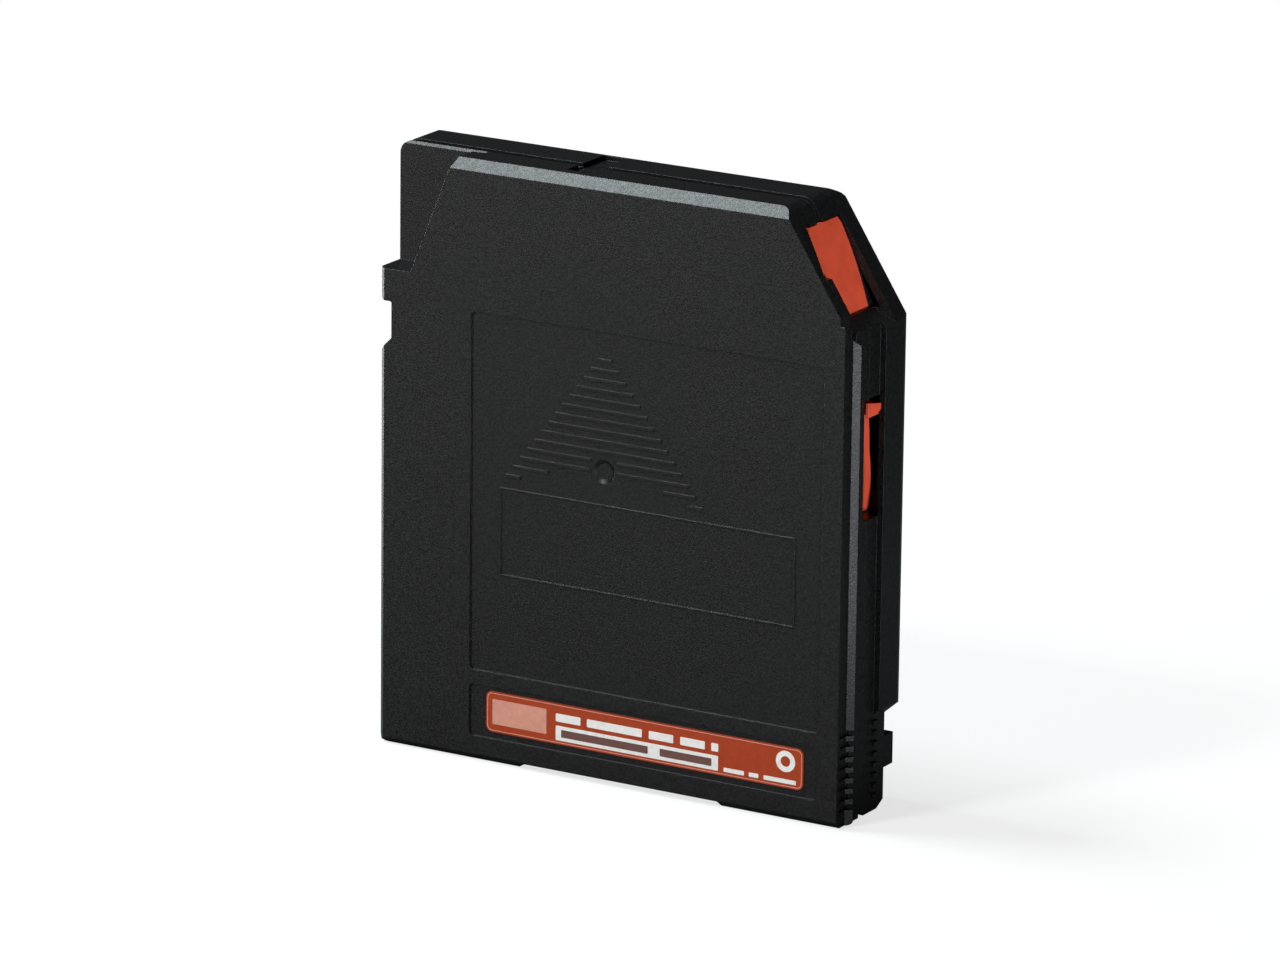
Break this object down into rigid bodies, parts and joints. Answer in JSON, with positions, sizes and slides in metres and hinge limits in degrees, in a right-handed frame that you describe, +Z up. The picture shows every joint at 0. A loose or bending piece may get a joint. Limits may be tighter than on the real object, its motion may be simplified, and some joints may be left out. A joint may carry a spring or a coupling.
{
  "type": "data tape cartridge",
  "caption": "Thin moulded data tape cartridge with a chamfered corner closed by a curved sprung door, an arrow of raised ribs, a label place and a toothed, spring-locked tape reel.",
  "frame": {"origin": "middle of the case's footprint on the edge it stands on", "axes": "+Z up towards the edge that enters the drive first, +X towards the door corner, +Y towards the hub side, label side at -Y"},
  "size_m": [0.109, 0.0244, 0.125],
  "materials": {
    "case_front": "fine matt grain",
    "case_rear": "fine matt grain",
    "door": "satin",
    "label": "coated",
    "hub": "satin",
    "flange": "satin",
    "drive_plate": "stamped",
    "tape": "wound, smooth",
    "leader_tape": "smooth",
    "leader_pin": "polished",
    "pin_clip": "moulded",
    "spring_wire": "drawn wire",
    "brake": "moulded",
    "release_pad": "moulded",
    "switch": "moulded",
    "chip": "coated board",
    "screw": "zinc plated"
  },
  "bodies": {
    "shell": {"upper_shell": "case_front", "lower_shell": "case_rear", "label": "label", "leader_tape": "leader_tape", "leader_pin": "leader_pin", "pin_clip": "pin_clip", "pin_spring_upper": "spring_wire", "pin_spring_lower": "spring_wire", "memory_chip": "chip", "screw_lower_left": "screw", "screw_lower_right": "screw", "screw_upper_left": "screw", "screw_upper_right": "screw", "door_spring": "spring_wire", "brake_spring": "spring_wire"},
    "door": {"door": "door"},
    "reel": {"reel_hub": "hub", "reel_upper_flange": "flange", "drive_plate": "drive_plate", "tape_pack": "tape"},
    "release_pad": {"release_pad": "release_pad"},
    "lock": {"brake_button": "brake"},
    "write_protect": {"write_protect_switch": "switch"}
  },
  "joints": [
    {"name": "door_swing", "type": "hinge", "parent": "shell", "child": "door", "pos_m": [-0.0338, 0, 0.08], "axis": [0, 1, 0], "range_deg": [0, 13.5], "stiffness_Nm_per_rad": 0.1, "springref_deg": -25.78, "deforming": ["door_spring"]},
    {"name": "reel_spin", "type": "hinge", "parent": "shell", "child": "reel", "pos_m": [-0.0014, 0, 0.0653], "axis": [0, 1, 0], "continuous": true},
    {"name": "lock_slide", "type": "slide", "parent": "shell", "child": "lock", "axis": [0, -1, 0], "range_m": [0, 0.002], "stiffness_N_per_m": 500, "springref_m": -0.008, "deforming": ["brake_spring"]},
    {"name": "pad_slide", "type": "slide", "parent": "reel", "child": "release_pad", "axis": [0, -1, 0], "range_m": [0, 0.002]},
    {"name": "write_protect_slide", "type": "slide", "parent": "shell", "child": "write_protect", "axis": [1, 0, 0], "range_m": [0, 0.0055]}
  ],
  "couplings": [
    {"joint": "pad_slide", "follows": "lock_slide", "ratio": 1}
  ]
}
